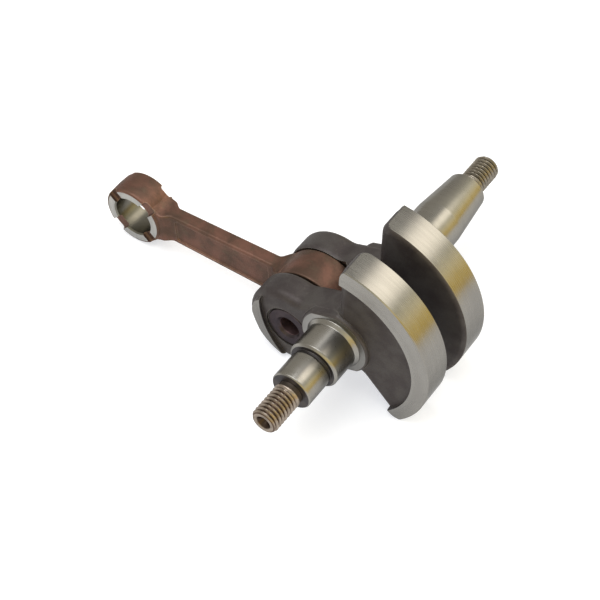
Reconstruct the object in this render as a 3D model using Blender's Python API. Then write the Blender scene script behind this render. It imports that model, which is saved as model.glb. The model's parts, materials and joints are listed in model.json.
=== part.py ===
"""Pressed-up crankshaft of a small two-stroke engine, with its connecting rod and big-end needle bearing.

The assembly lies at rest on a flat surface: both webs stand on one corner of the counterweight and one
corner of the crankpin lobe, and the rod's small end lies beside them. World +Y runs along the main axis,
from the stepped, threaded end to the tapered end, and +Z is up. The origin is the middle of the
footprint, on the surface.

Two working frames are used. The crank frame has its origin on the main axis, midway between the webs,
with the crankpin at -X. The rod frame has its origin on the crankpin axis, with the small end at -X.
"""

import math

import bmesh
import bpy
from mathutils import Matrix

MM = 0.001
RUNNING_GAP = 0.05 * MM

# Crank throw and webs. "out" is the distance from the mid plane between the webs, along the main axis.
THROW = 17.0 * MM
WEB_RADIUS = 29.0 * MM
FORGED_RADIUS = 29.8 * MM
BAND_INNER_RADIUS = 24.5 * MM
WEB_INNER_OUT = 4.4 * MM
LOBE_INNER_OUT = 5.8 * MM
LOBE_FACING_RADIUS = 14.0 * MM
FORGED_FACE_OUT = 14.2 * MM
BAND_INNER_OUT = 15.3 * MM
BAND_OUTER_OUT = 14.3 * MM
LOBE_RADIUS = 12.8 * MM
LOBE_CENTRE = 17.6 * MM
NECK_HALF_WIDTH = 10.2 * MM
NECK_FILLET = 5.0 * MM
COUNTERWEIGHT_HALF_ANGLE = math.radians(67)
COUNTERWEIGHT_ROOT_FILLET = 3.0 * MM
COUNTERWEIGHT_CORNER = 3.5 * MM
FORGED_EDGE = 2.4 * MM
RIM_EDGE = 1.8 * MM
RIM_CHAMFER = 0.3 * MM
RIM_LOBE_INSET = 1.3 * MM
RIM_ROOT_OUT = 10.9 * MM
RIM_FACE_OUT = 15.9 * MM

# Bearing shoulder and shafts: each profile is (radius, out), from the web to the threaded tip.
SHOULDER_RADIUS = 10.8 * MM
SHOULDER_HALF_HEIGHT = 10.0 * MM
SHOULDER_OUT = 15.2 * MM
SHOULDER_ROOT_OUT = 12.0 * MM
SHAFT_ROOT_OUT = 10.2 * MM
SHOULDER_EDGE = 0.7 * MM
JOURNAL_RADIUS = 7.5 * MM
SEAL_JOURNAL_RADIUS = 6.0 * MM
THREAD_RADIUS = 3.95 * MM
NECK_RADIUS = 3.7 * MM
TIP_RADIUS = 3.3 * MM
TIP_CHAMFER = 1.0 * MM
ROOT_RING_RADIUS = 8.4 * MM
SMALL_CHAMFER = 0.4 * MM
JOURNAL_CHAMFER = 0.6 * MM
FRONT_JOURNAL_END = 25.0 * MM
FRONT_SEAL_END = 35.0 * MM
FRONT_THREAD_START = 36.6 * MM
FRONT_TIP = 47.1 * MM
REAR_JOURNAL_END = 37.4 * MM
TAPER_END = 53.2 * MM
TAPER_END_RADIUS = 5.95 * MM
REAR_THREAD_START = 54.8 * MM
REAR_TIP = 65.0 * MM
CENTRE_HOLE_RADIUS = 2.2 * MM
CENTRE_DRILL_RADIUS = 0.9 * MM
CENTRE_HOLE_DEPTH = 4.0 * MM

# Crankpin and needle bearing.
PIN_RADIUS = 6.5 * MM
PIN_BORE_RADIUS = 3.1 * MM
PIN_HALF_LENGTH = 14.1 * MM
PIN_HOLE_MOUTH_RADIUS = 7.15 * MM
PIN_HOLE_MOUTH_DEPTH = 0.8 * MM
ROLLER_COUNT = 15
ROLLER_RADIUS = 1.2 * MM
ROLLER_LENGTH = 6.2 * MM
ROLLER_PITCH_RADIUS = PIN_RADIUS + ROLLER_RADIUS + RUNNING_GAP
CAGE_INNER_RADIUS = 6.95 * MM
CAGE_OUTER_RADIUS = 8.6 * MM
CAGE_WIDTH = 8.4 * MM
CAGE_WINDOW_PLAY = 0.08 * MM

# Connecting rod.
ROD_LENGTH = 62.8 * MM
ROD_SIDE_SHIFT = 0.2 * MM
BIG_END_BORE_RADIUS = ROLLER_PITCH_RADIUS + ROLLER_RADIUS + RUNNING_GAP
BIG_END_RADIUS = 12.5 * MM
BIG_END_WIDTH = 10.3 * MM
SMALL_END_BORE_RADIUS = 6.4 * MM
SMALL_END_RADIUS = 9.9 * MM
SMALL_END_WIDTH = 9.3 * MM
PARTING_DRAFT = 0.2 * MM
RIM_ROUNDING = 0.6 * MM
SHANK_HALF_HEIGHT_BIG = 6.3 * MM
SHANK_HALF_HEIGHT_SMALL = 4.9 * MM
SHANK_HALF_THICKNESS = 2.25 * MM
BIG_END_FILLET = 6.0 * MM
SMALL_END_FILLET = 4.0 * MM
SHOULDER_LENGTH = 3.2 * MM
BIG_END_STEP = BIG_END_RADIUS - 1.5 * MM
SHANK_EDGE = 0.7 * MM
PANEL_DEPTH = 0.45 * MM
PANEL_MARGIN = 1.5 * MM
OIL_SLOT_WIDTH = 4.2 * MM
OIL_SLOT_DEPTH = 1.2 * MM

SHAFT_STEPS = 48
OUTLINE_STEP = math.radians(7.5)


def polar(radius, angle):
    return radius * math.cos(angle), radius * math.sin(angle)


def arc(centre, radius, start, end, step=OUTLINE_STEP):
    """Points along an arc in the X-Z plane, ends included."""
    count = max(1, math.ceil(abs(end - start) / step - 1e-6))
    angles = [start + (end - start) * i / count for i in range(count + 1)]
    return [(centre[0] + radius * math.cos(a), centre[1] + radius * math.sin(a)) for a in angles]


def web_outline(rim_radius, inset=0.0, lobe_inset=0.0):
    """The web seen along the main axis, in the crank frame: crankpin lobe at -X, counterweight at +X.

    inset draws the neck and the counterweight's end faces in, and leaves its rim where it is.
    lobe_inset makes the lobe smaller.
    """
    lobe_centre = (-LOBE_CENTRE, 0)
    lobe, neck = LOBE_RADIUS - lobe_inset, NECK_HALF_WIDTH - inset
    # The lobe, then the hollow that joins it to the neck: a fillet between the lobe's circle and the
    # neck's straight side.
    fillet_z = neck + NECK_FILLET
    fillet_x = lobe_centre[0] + math.sqrt((lobe + NECK_FILLET) ** 2 - fillet_z**2)
    contact = math.atan2(fillet_z, fillet_x - lobe_centre[0])
    upper = arc(lobe_centre, lobe, math.pi, contact)
    upper += arc((fillet_x, fillet_z), NECK_FILLET, contact + math.pi, 1.5 * math.pi)[1:]
    # Root of the counterweight's end face: a fillet on the neck's line and on the radial end face.
    half = COUNTERWEIGHT_HALF_ANGLE - inset / BAND_INNER_RADIUS
    root = COUNTERWEIGHT_ROOT_FILLET
    root_z = neck + root
    root_x = (root_z * math.cos(half) - root) / math.sin(half)
    upper += arc((root_x, root_z), root, -0.5 * math.pi, half - 0.5 * math.pi)
    # Corner between the radial end face and the rim.
    corner = COUNTERWEIGHT_CORNER
    slant = half - math.asin(corner / (rim_radius - corner))
    upper += arc(polar(rim_radius - corner, slant), corner, half + 0.5 * math.pi, slant, 2 * OUTLINE_STEP)
    upper += arc((0, 0), rim_radius, slant, 0)[1:]
    lower = [(x, -z) for x, z in reversed(upper[1:-1])]
    return upper + lower


def new_object(name, mesh_builder):
    """A linked object whose mesh is filled by mesh_builder(bm)."""
    bm = bmesh.new()
    mesh_builder(bm)
    bmesh.ops.remove_doubles(bm, verts=bm.verts, dist=1e-7)
    bmesh.ops.recalc_face_normals(bm, faces=bm.faces)
    mesh = bpy.data.meshes.new(name)
    bm.to_mesh(mesh)
    bm.free()
    obj = bpy.data.objects.new(name, mesh)
    bpy.context.scene.collection.objects.link(obj)
    return obj


def as_helper(obj):
    obj.hide_render = True
    obj.display_type = "WIRE"
    return obj


def plate(name, outline, y_from, y_to):
    """A flat plate with the given X-Z outline, between two Y planes."""

    def build(bm):
        near = [bm.verts.new((x, y_from, z)) for x, z in outline]
        far = [bm.verts.new((x, y_to, z)) for x, z in outline]
        bm.faces.new(near)
        bm.faces.new(far)
        for i in range(len(outline)):
            j = (i + 1) % len(outline)
            bm.faces.new((near[i], near[j], far[j], far[i]))

    return new_object(name, build)


def turned(name, profile, steps=SHAFT_STEPS, centre=(0, 0), closed=False):
    """A solid turned about an axis along Y. profile is (radius, y); a closed profile makes a ring."""

    def build(bm):
        rings = []
        for radius, y in profile:
            count = 1 if radius < 1e-9 else steps
            turn = 2 * math.pi / steps
            ring = [(centre[0] + radius * math.cos(turn * i), y, centre[1] + radius * math.sin(turn * i))
                    for i in range(count)]
            rings.append([bm.verts.new(point) for point in ring])
        pairs = list(zip(rings, rings[1:]))
        if closed:
            pairs.append((rings[-1], rings[0]))
        for a, b in pairs:
            for i in range(steps):
                j = (i + 1) % steps
                corners = [a[i % len(a)], a[j % len(a)], b[j % len(b)], b[i % len(b)]]
                bm.faces.new(list(dict.fromkeys(corners)))

    return new_object(name, build)


def bevel(obj, width, segments, angle=math.radians(40)):
    modifier = obj.modifiers.new("rounded_edges", "BEVEL")
    modifier.width = width
    modifier.segments = segments
    modifier.limit_method = "ANGLE"
    modifier.angle_limit = angle
    return obj


def boolean(obj, operation, other):
    modifier = obj.modifiers.new(f"{operation.lower()}_{other.name}", "BOOLEAN")
    modifier.operation = operation
    modifier.object = as_helper(other)
    modifier.solver = "EXACT"
    return obj


def material(name, colour, roughness, metallic):
    made = bpy.data.materials.new(name)
    made.use_nodes = True
    shader = made.node_tree.nodes["Principled BSDF"]
    shader.inputs["Base Color"].default_value = (*colour, 1)
    shader.inputs["Roughness"].default_value = roughness
    shader.inputs["Metallic"].default_value = metallic
    made.diffuse_color = (*colour, 1)
    return made


def finish(obj, surface, parent, smooth_angle=math.radians(32)):
    """Material, smooth shading with crisp edges, and the empty that carries the piece."""
    obj.data.materials.append(surface)
    obj.data.shade_smooth()
    obj.data.set_sharp_from_angle(angle=smooth_angle)
    obj.parent = parent
    return obj


def axis_empty(name, location, turn):
    empty = bpy.data.objects.new(name, None)
    bpy.context.scene.collection.objects.link(empty)
    empty.location = location
    empty.rotation_euler = (0, turn, 0)
    empty.empty_display_size = 10 * MM
    return empty


def centre_drilled_tip(tip):
    """The end of a threaded tip: chamfered crest, flat face and a countersunk centre hole."""
    countersink_depth = (CENTRE_HOLE_RADIUS - CENTRE_DRILL_RADIUS) / math.tan(math.radians(35))
    return [
        (THREAD_RADIUS, tip - TIP_CHAMFER),
        (TIP_RADIUS, tip),
        (CENTRE_HOLE_RADIUS, tip),
        (CENTRE_DRILL_RADIUS, tip - countersink_depth),
        (CENTRE_DRILL_RADIUS, tip - CENTRE_HOLE_DEPTH + CENTRE_DRILL_RADIUS),
        (0, tip - CENTRE_HOLE_DEPTH),
    ]


def shaft_root():
    """The part of both shafts inside the web and the small ring at the foot of the main journal."""
    return [
        (0, SHAFT_ROOT_OUT),
        (ROOT_RING_RADIUS, SHAFT_ROOT_OUT),
        (ROOT_RING_RADIUS, SHOULDER_OUT + 0.2 * MM),
        (JOURNAL_RADIUS, SHOULDER_OUT + 1.1 * MM),
    ]


def front_shaft_profile():
    undercut = SEAL_JOURNAL_RADIUS - 0.25 * MM
    return shaft_root() + [
        (JOURNAL_RADIUS, FRONT_JOURNAL_END - JOURNAL_CHAMFER),
        (JOURNAL_RADIUS - JOURNAL_CHAMFER, FRONT_JOURNAL_END),
        (undercut, FRONT_JOURNAL_END),
        (undercut, FRONT_JOURNAL_END + 0.9 * MM),
        (SEAL_JOURNAL_RADIUS, FRONT_JOURNAL_END + 1.2 * MM),
        (SEAL_JOURNAL_RADIUS, FRONT_SEAL_END - SMALL_CHAMFER),
        (SEAL_JOURNAL_RADIUS - SMALL_CHAMFER, FRONT_SEAL_END),
        (NECK_RADIUS, FRONT_SEAL_END),
        (NECK_RADIUS, FRONT_THREAD_START - 0.5 * MM),
        (THREAD_RADIUS, FRONT_THREAD_START),
    ] + centre_drilled_tip(FRONT_TIP)


def rear_shaft_profile():
    return shaft_root() + [
        (JOURNAL_RADIUS, REAR_JOURNAL_END),
        (TAPER_END_RADIUS, TAPER_END - SMALL_CHAMFER),
        (TAPER_END_RADIUS - SMALL_CHAMFER, TAPER_END),
        (NECK_RADIUS, TAPER_END),
        (NECK_RADIUS, REAR_THREAD_START - 0.5 * MM),
        (THREAD_RADIUS, REAR_THREAD_START),
    ] + centre_drilled_tip(REAR_TIP)


def shoulder_outline():
    """The bearing shoulder: a disc whose top and bottom are flattened to the neck's width."""
    flat = math.asin(SHOULDER_HALF_HEIGHT / SHOULDER_RADIUS)
    right = arc((0, 0), SHOULDER_RADIUS, -flat, flat)
    left = arc((0, 0), SHOULDER_RADIUS, math.pi - flat, math.pi + flat)
    return right + left


def crank_half(name, side, shaft_profile, surface, parent):
    """One forging: web, counterweight, crankpin lobe and shaft. side is -1 at the front, +1 at the rear."""
    forging = plate(name, web_outline(FORGED_RADIUS), side * WEB_INNER_OUT, side * FORGED_FACE_OUT)
    bevel(forging, FORGED_EDGE, 2)
    # The raised rim that the facing tool cleans up, on the counterweight and on the lobe's tip.
    rim_outline = web_outline(FORGED_RADIUS + 0.2 * MM, 0.25 * MM, RIM_LOBE_INSET)
    rim = bevel(plate(name + "_rim", rim_outline, side * RIM_ROOT_OUT, side * RIM_FACE_OUT), RIM_EDGE, 2)
    hollow_root = side * (RIM_ROOT_OUT - 1 * MM)
    hollow_top = side * (RIM_FACE_OUT + 1 * MM)
    hollow = turned(name + "_rim_hollow", [(0, hollow_root), (BAND_INNER_RADIUS, hollow_root),
                                           (BAND_INNER_RADIUS, hollow_top), (0, hollow_top)], 72)
    boolean(rim, "DIFFERENCE", hollow)
    boolean(forging, "UNION", rim)
    # Everything that the lathe leaves: the rim at its finished radius under a shallow cone.
    fall = (BAND_INNER_OUT - BAND_OUTER_OUT) / (WEB_RADIUS - RIM_CHAMFER - BAND_INNER_RADIUS)
    peak = BAND_OUTER_OUT + fall * (WEB_RADIUS - RIM_CHAMFER)
    envelope = turned(name + "_turned_envelope", [(0, 0), (WEB_RADIUS, 0),
                                                  (WEB_RADIUS, side * (BAND_OUTER_OUT - RIM_CHAMFER)),
                                                  (WEB_RADIUS - RIM_CHAMFER, side * BAND_OUTER_OUT),
                                                  (0, side * peak)], 96)
    boolean(forging, "INTERSECT", envelope)
    shoulder = plate(name + "_shoulder", shoulder_outline(), side * SHOULDER_ROOT_OUT, side * SHOULDER_OUT)
    bevel(shoulder, SHOULDER_EDGE, 2)
    boolean(forging, "UNION", shoulder)
    shaft = turned(name + "_shaft", [(radius, side * out) for radius, out in shaft_profile])
    boolean(forging, "UNION", shaft)
    facing = turned(name + "_lobe_facing", [(0, 0), (LOBE_FACING_RADIUS, 0),
                                            (LOBE_FACING_RADIUS, side * LOBE_INNER_OUT),
                                            (0, side * LOBE_INNER_OUT)], centre=(-THROW, 0))
    boolean(forging, "DIFFERENCE", facing)
    hole = PIN_RADIUS + RUNNING_GAP
    mouth = FORGED_FACE_OUT - PIN_HOLE_MOUTH_DEPTH
    pin_hole = turned(name + "_pin_hole", [(0, 0), (hole, 0), (hole, side * mouth),
                                           (PIN_HOLE_MOUTH_RADIUS, side * (mouth + 0.2 * MM)),
                                           (PIN_HOLE_MOUTH_RADIUS, side * RIM_FACE_OUT),
                                           (0, side * RIM_FACE_OUT)], centre=(-THROW, 0))
    boolean(forging, "DIFFERENCE", pin_hole)
    for helper in (hollow, rim, envelope, shoulder, shaft, facing, pin_hole):
        helper.parent = parent
    return finish(forging, surface, parent)


def crankpin(surface, parent):
    chamfer = SMALL_CHAMFER
    end = PIN_HALF_LENGTH
    profile = [
        (PIN_BORE_RADIUS, -end + chamfer),
        (PIN_BORE_RADIUS + chamfer, -end),
        (PIN_RADIUS - chamfer, -end),
        (PIN_RADIUS, -end + chamfer),
        (PIN_RADIUS, end - chamfer),
        (PIN_RADIUS - chamfer, end),
        (PIN_BORE_RADIUS + chamfer, end),
        (PIN_BORE_RADIUS, end - chamfer),
    ]
    return finish(turned("crankpin", profile, closed=True), surface, parent)


def bearing_cage(surface, parent):
    half = 0.5 * CAGE_WIDTH
    ring = [(CAGE_INNER_RADIUS, -half), (CAGE_OUTER_RADIUS, -half),
            (CAGE_OUTER_RADIUS, half), (CAGE_INNER_RADIUS, half)]
    cage = turned("big_end_cage", ring, 60, closed=True)
    width = ROLLER_RADIUS + CAGE_WINDOW_PLAY
    length = 0.5 * ROLLER_LENGTH + CAGE_WINDOW_PLAY

    def windows(bm):
        for i in range(ROLLER_COUNT):
            made = bmesh.ops.create_cube(bm, size=1)["verts"]
            for vert in made:
                vert.co.x = ROLLER_PITCH_RADIUS + 3 * MM * vert.co.x
                vert.co.y *= 2 * length
                vert.co.z *= 2 * width
            bmesh.ops.rotate(bm, verts=made, matrix=turn_about_y(roller_angle(i)))

    boolean(cage, "DIFFERENCE", new_object("cage_windows", windows))
    bpy.data.objects["cage_windows"].parent = parent
    return finish(cage, surface, parent)


def roller_angle(index):
    return 2 * math.pi * index / ROLLER_COUNT


def turn_about_y(angle):
    """A turn that takes +X towards +Z."""
    return Matrix.Rotation(-angle, 3, "Y")


def rollers(surface, parent):
    """Each needle roller has its origin on its own axis."""
    half = 0.5 * ROLLER_LENGTH
    edge = 0.15 * MM
    profile = [(0, -half), (ROLLER_RADIUS - edge, -half), (ROLLER_RADIUS, -half + edge),
               (ROLLER_RADIUS, half - edge), (ROLLER_RADIUS - edge, half), (0, half)]
    first = turned("needle_roller_01", profile, 16)
    finish(first, surface, parent)
    for i in range(ROLLER_COUNT):
        roller = first
        if i:
            roller = bpy.data.objects.new(f"needle_roller_{i + 1:02d}", first.data)
            bpy.context.scene.collection.objects.link(roller)
            roller.parent = parent
        x, z = polar(ROLLER_PITCH_RADIUS, roller_angle(i))
        roller.location = (x, 0, z)


def smooth_step(value):
    value = min(1.0, max(0.0, value))
    return value * value * (3 - 2 * value)


def shank_half_height(along):
    """Half of the shank's height in the plane of motion, with the fillets that run into both eyes."""
    share = along / ROD_LENGTH
    height = SHANK_HALF_HEIGHT_BIG + (SHANK_HALF_HEIGHT_SMALL - SHANK_HALF_HEIGHT_BIG) * share
    big_end = (BIG_END_RADIUS, 0.0, BIG_END_FILLET)
    small_end = (SMALL_END_RADIUS, ROD_LENGTH, SMALL_END_FILLET)
    for eye, centre, fillet in (big_end, small_end):
        reach = math.sqrt((eye + fillet) ** 2 - (height + fillet) ** 2)
        contact = reach * eye / (eye + fillet)
        distance = abs(along - centre)
        if distance < reach:
            inside = reach - max(distance, contact)
            height += fillet - math.sqrt(fillet**2 - inside**2)
    return height


def shank_half_thickness(along):
    """Half of the shank's thickness along Y: thin in the middle, with a shoulder before each eye."""
    big_rise = smooth_step((BIG_END_STEP + SHOULDER_LENGTH - along) / SHOULDER_LENGTH)
    small_rise = smooth_step((SMALL_END_RADIUS + SHOULDER_LENGTH - (ROD_LENGTH - along)) / SHOULDER_LENGTH)
    big = 0.5 * BIG_END_WIDTH - RIM_ROUNDING - SHANK_HALF_THICKNESS
    small = 0.5 * SMALL_END_WIDTH - RIM_ROUNDING - SHANK_HALF_THICKNESS
    return SHANK_HALF_THICKNESS + big * big_rise + small * small_rise


def shank(name):
    """A loft of rectangles with cut corners, from inside one eye to inside the other."""
    start = 0.5 * BIG_END_RADIUS
    end = ROD_LENGTH - 0.5 * SMALL_END_RADIUS
    edge_zone = 11 * MM
    fine, coarse = 10, 4
    stations = [start + edge_zone * i / fine for i in range(fine)]
    stations += [start + edge_zone + (end - start - 2 * edge_zone) * i / coarse for i in range(coarse)]
    stations += [end - edge_zone + edge_zone * i / fine for i in range(fine + 1)]

    def build(bm):
        sections = []
        for along in stations:
            height, thickness = shank_half_height(along), shank_half_thickness(along)
            corners = []
            for y_sign, z_sign, y_first in ((-1, -1, False), (1, -1, True), (1, 1, False), (-1, 1, True)):
                short_y = (y_sign * (thickness - SHANK_EDGE), z_sign * height)
                short_z = (y_sign * thickness, z_sign * (height - SHANK_EDGE))
                corners += [short_y, short_z] if y_first else [short_z, short_y]
            sections.append([bm.verts.new((-along, y, z)) for y, z in corners])
        for a, b in zip(sections, sections[1:]):
            for i in range(len(a)):
                j = (i + 1) % len(a)
                bm.faces.new((a[i], a[j], b[j], b[i]))
        bm.faces.new(sections[0])
        bm.faces.new(sections[-1])

    return new_object(name, build)


def eye_profile(radius, width):
    """A rod eye: the forging's parting ridge in the middle, draft to both sides and rounded rims."""
    half = 0.5 * width
    side = radius - PARTING_DRAFT
    return [
        (0, -half),
        (side - RIM_ROUNDING, -half),
        (side - 0.3 * RIM_ROUNDING, -half + 0.3 * RIM_ROUNDING),
        (side, -half + RIM_ROUNDING),
        (radius, 0),
        (side, half - RIM_ROUNDING),
        (side - 0.3 * RIM_ROUNDING, half - 0.3 * RIM_ROUNDING),
        (side - RIM_ROUNDING, half),
        (0, half),
    ]


def bore_profile(radius, width):
    """A cutter for an eye's bore, with a small chamfer at both faces."""
    half = 0.5 * width
    past = half + 1 * MM
    wide = radius + SMALL_CHAMFER
    return [(0, -past), (wide, -past), (wide, -half), (radius, SMALL_CHAMFER - half),
            (radius, half - SMALL_CHAMFER), (wide, half), (wide, past), (0, past)]


def panel_recess(name, side):
    """The shallow sunk panel on one flank of the shank."""
    along_from = BIG_END_STEP + SHOULDER_LENGTH + PANEL_MARGIN
    along_to = ROD_LENGTH - SMALL_END_RADIUS - SHOULDER_LENGTH - PANEL_MARGIN
    outline = [
        (-along_from, shank_half_height(along_from) - PANEL_MARGIN),
        (-along_from, PANEL_MARGIN - shank_half_height(along_from)),
        (-along_to, PANEL_MARGIN - shank_half_height(along_to)),
        (-along_to, shank_half_height(along_to) - PANEL_MARGIN),
    ]
    floor = SHANK_HALF_THICKNESS - PANEL_DEPTH
    return plate(name, outline, side * floor, side * (SHANK_HALF_THICKNESS + 1 * MM))


def oil_slots(name):
    """Four radial slots in each face of the small end, between its top, bottom, front and back."""
    half = 0.5 * SMALL_END_WIDTH
    middle = 0.5 * (SMALL_END_BORE_RADIUS + SMALL_END_RADIUS)
    reach = SMALL_END_RADIUS - SMALL_END_BORE_RADIUS + 4 * MM

    def build(bm):
        for side in (-1, 1):
            for quarter in range(4):
                made = bmesh.ops.create_cube(bm, size=1)["verts"]
                for vert in made:
                    vert.co.x = middle + reach * vert.co.x
                    vert.co.y = side * (half + (2 * vert.co.y) * OIL_SLOT_DEPTH)
                    vert.co.z *= OIL_SLOT_WIDTH
                turn = math.radians(45 + 90 * quarter)
                bmesh.ops.rotate(bm, verts=made, matrix=turn_about_y(turn))
                bmesh.ops.translate(bm, verts=made, vec=(-ROD_LENGTH, 0, 0))

    return new_object(name, build)


def connecting_rod(surface, parent):
    small_centre = (-ROD_LENGTH, 0)
    rod = turned("connecting_rod", eye_profile(BIG_END_RADIUS, BIG_END_WIDTH))
    body = shank("rod_shank")
    small = turned("rod_small_eye", eye_profile(SMALL_END_RADIUS, SMALL_END_WIDTH), centre=small_centre)
    big_bore = turned("rod_big_bore", bore_profile(BIG_END_BORE_RADIUS, BIG_END_WIDTH))
    small_profile = bore_profile(SMALL_END_BORE_RADIUS, SMALL_END_WIDTH)
    small_bore = turned("rod_small_bore", small_profile, centre=small_centre)
    near_panel, far_panel = panel_recess("rod_panel_near", -1), panel_recess("rod_panel_far", 1)
    slots = oil_slots("rod_oil_slots")
    boolean(rod, "UNION", body)
    boolean(rod, "UNION", small)
    boolean(rod, "DIFFERENCE", big_bore)
    boolean(rod, "DIFFERENCE", small_bore)
    boolean(rod, "DIFFERENCE", near_panel)
    boolean(rod, "DIFFERENCE", far_panel)
    boolean(rod, "DIFFERENCE", slots)
    for helper in (body, small, big_bore, small_bore, near_panel, far_panel, slots):
        helper.parent = parent
    return finish(rod, surface, parent)


def rest_attitude():
    """(turn of the crank, height of its axis) when the webs stand on counterweight and lobe."""
    counterweight_side, lobe_side = [], []
    for x, z in web_outline(FORGED_RADIUS):
        turned_back = min(1.0, WEB_RADIUS / math.hypot(x, z))
        (counterweight_side if x > 0 else lobe_side).append((turned_back * x, turned_back * z))

    def depth(points, turn):
        return max(-x * math.sin(turn) - z * math.cos(turn) for x, z in points)

    low, high = 0.0, 0.25 * math.pi
    for _ in range(40):
        turn = 0.5 * (low + high)
        if depth(lobe_side, turn) < depth(counterweight_side, turn):
            low = turn
        else:
            high = turn
    return -turn, depth(lobe_side, turn)


def main():
    for obj in list(bpy.data.objects):
        bpy.data.objects.remove(obj, do_unlink=True)

    forged = material("forged_and_turned_steel", (0.16, 0.15, 0.15), 0.45, 0.9)
    pin_steel = material("blued_pin_steel", (0.09, 0.07, 0.09), 0.4, 0.9)
    rod_steel = material("copper_washed_rod_steel", (0.22, 0.10, 0.07), 0.45, 0.85)
    cage_steel = material("cage_steel", (0.45, 0.43, 0.40), 0.4, 0.9)
    roller_steel = material("roller_steel", (0.62, 0.62, 0.62), 0.15, 1.0)

    crank_turn, axis_height = rest_attitude()
    pin_x, pin_z = -THROW * math.cos(crank_turn), THROW * math.sin(crank_turn)
    small_end_drop = axis_height + pin_z - SMALL_END_RADIUS
    rod_turn = -math.asin(small_end_drop / ROD_LENGTH)
    small_end_x = pin_x - ROD_LENGTH * math.cos(rod_turn)
    axis_x = 0.5 * (SMALL_END_RADIUS - small_end_x - WEB_RADIUS)
    axis_y = 0.5 * (FRONT_TIP - REAR_TIP)

    crank_axis = axis_empty("crank_axis", (axis_x, axis_y, axis_height), crank_turn)
    pin_place = (axis_x + pin_x, axis_y, axis_height + pin_z)
    pin_axis = axis_empty("crankpin_axis", pin_place, crank_turn)
    rod_place = (pin_place[0], axis_y + ROD_SIDE_SHIFT, pin_place[2])
    rod_axis = axis_empty("rod_axis", rod_place, rod_turn)

    crank_half("crank_half_front", -1, front_shaft_profile(), forged, crank_axis)
    crank_half("crank_half_rear", 1, rear_shaft_profile(), forged, crank_axis)
    crankpin(pin_steel, pin_axis)
    bearing_cage(cage_steel, rod_axis)
    rollers(roller_steel, rod_axis)
    connecting_rod(rod_steel, rod_axis)


main()
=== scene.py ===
"""Looks of a small two-stroke crankshaft: turned and forged steel webs, ground shafts with cut threads,
a hollow crankpin and a copper-washed connecting rod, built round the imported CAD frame.

Every piece is modelled in the frame of the part it belongs to. The crank frame has its origin on the main
axis, midway between the webs, with the crankpin at -X. The rod frame has its origin on the crankpin axis,
in the middle of the rod's width, with the small end at -X. Y runs along the main axis in both.
"""

import json
import math

import bmesh
import bpy
from mathutils import Matrix, Vector

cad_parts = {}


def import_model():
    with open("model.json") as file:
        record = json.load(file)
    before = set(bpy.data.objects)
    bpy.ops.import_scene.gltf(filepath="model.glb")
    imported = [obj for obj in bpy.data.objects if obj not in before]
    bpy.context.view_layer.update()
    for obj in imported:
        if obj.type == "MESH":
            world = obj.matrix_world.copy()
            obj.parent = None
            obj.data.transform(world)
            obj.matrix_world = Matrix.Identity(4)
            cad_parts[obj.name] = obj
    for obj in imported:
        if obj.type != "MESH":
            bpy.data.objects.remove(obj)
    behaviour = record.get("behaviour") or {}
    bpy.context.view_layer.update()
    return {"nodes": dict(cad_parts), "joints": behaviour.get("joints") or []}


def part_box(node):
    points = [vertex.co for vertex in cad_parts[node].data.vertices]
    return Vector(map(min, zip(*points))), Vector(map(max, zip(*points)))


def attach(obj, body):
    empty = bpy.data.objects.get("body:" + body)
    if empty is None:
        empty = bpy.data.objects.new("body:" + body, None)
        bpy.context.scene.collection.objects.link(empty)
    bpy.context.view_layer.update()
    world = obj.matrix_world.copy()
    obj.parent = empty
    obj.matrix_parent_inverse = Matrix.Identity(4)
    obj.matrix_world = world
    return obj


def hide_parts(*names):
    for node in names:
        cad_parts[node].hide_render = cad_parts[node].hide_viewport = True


MM = 0.001

# Crank: "out" is the distance from the mid plane between the webs, along the main axis.
THROW = 17.0 * MM
WEB_RADIUS = 29.0 * MM
FORGED_RADIUS = 29.8 * MM
BAND_INNER_RADIUS = 24.5 * MM
WEB_INNER_OUT = 4.4 * MM
LOBE_INNER_OUT = 5.8 * MM
LOBE_FACING_RADIUS = 14.0 * MM
FORGED_FACE_OUT = 14.2 * MM
BAND_INNER_OUT = 15.3 * MM
BAND_OUTER_OUT = 14.3 * MM
LOBE_RADIUS = 12.8 * MM
LOBE_CENTRE = 17.6 * MM
NECK_HALF_WIDTH = 10.2 * MM
NECK_FILLET = 5.0 * MM
COUNTERWEIGHT_HALF_ANGLE = math.radians(67)
COUNTERWEIGHT_ROOT_FILLET = 3.0 * MM
COUNTERWEIGHT_CORNER = 3.5 * MM
FORGED_EDGE = 2.4 * MM
RIM_EDGE = 2.0 * MM
RIM_CHAMFER = 0.3 * MM
RIM_SIDE_INSET = 0.25 * MM
RIM_LOBE_INSET = 1.3 * MM
RIM_ROOT_OUT = 10.9 * MM
RIM_FACE_OUT = 15.9 * MM
SHOULDER_RADIUS = 10.8 * MM
SHOULDER_HALF_HEIGHT = 10.0 * MM
SHOULDER_OUT = 15.2 * MM
SHOULDER_ROOT_OUT = 12.0 * MM
SHOULDER_EDGE = 1.1 * MM
CUTTER_ROOT_OUT = 10.0 * MM
CUTTER_TOP_OUT = 19.0 * MM

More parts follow.
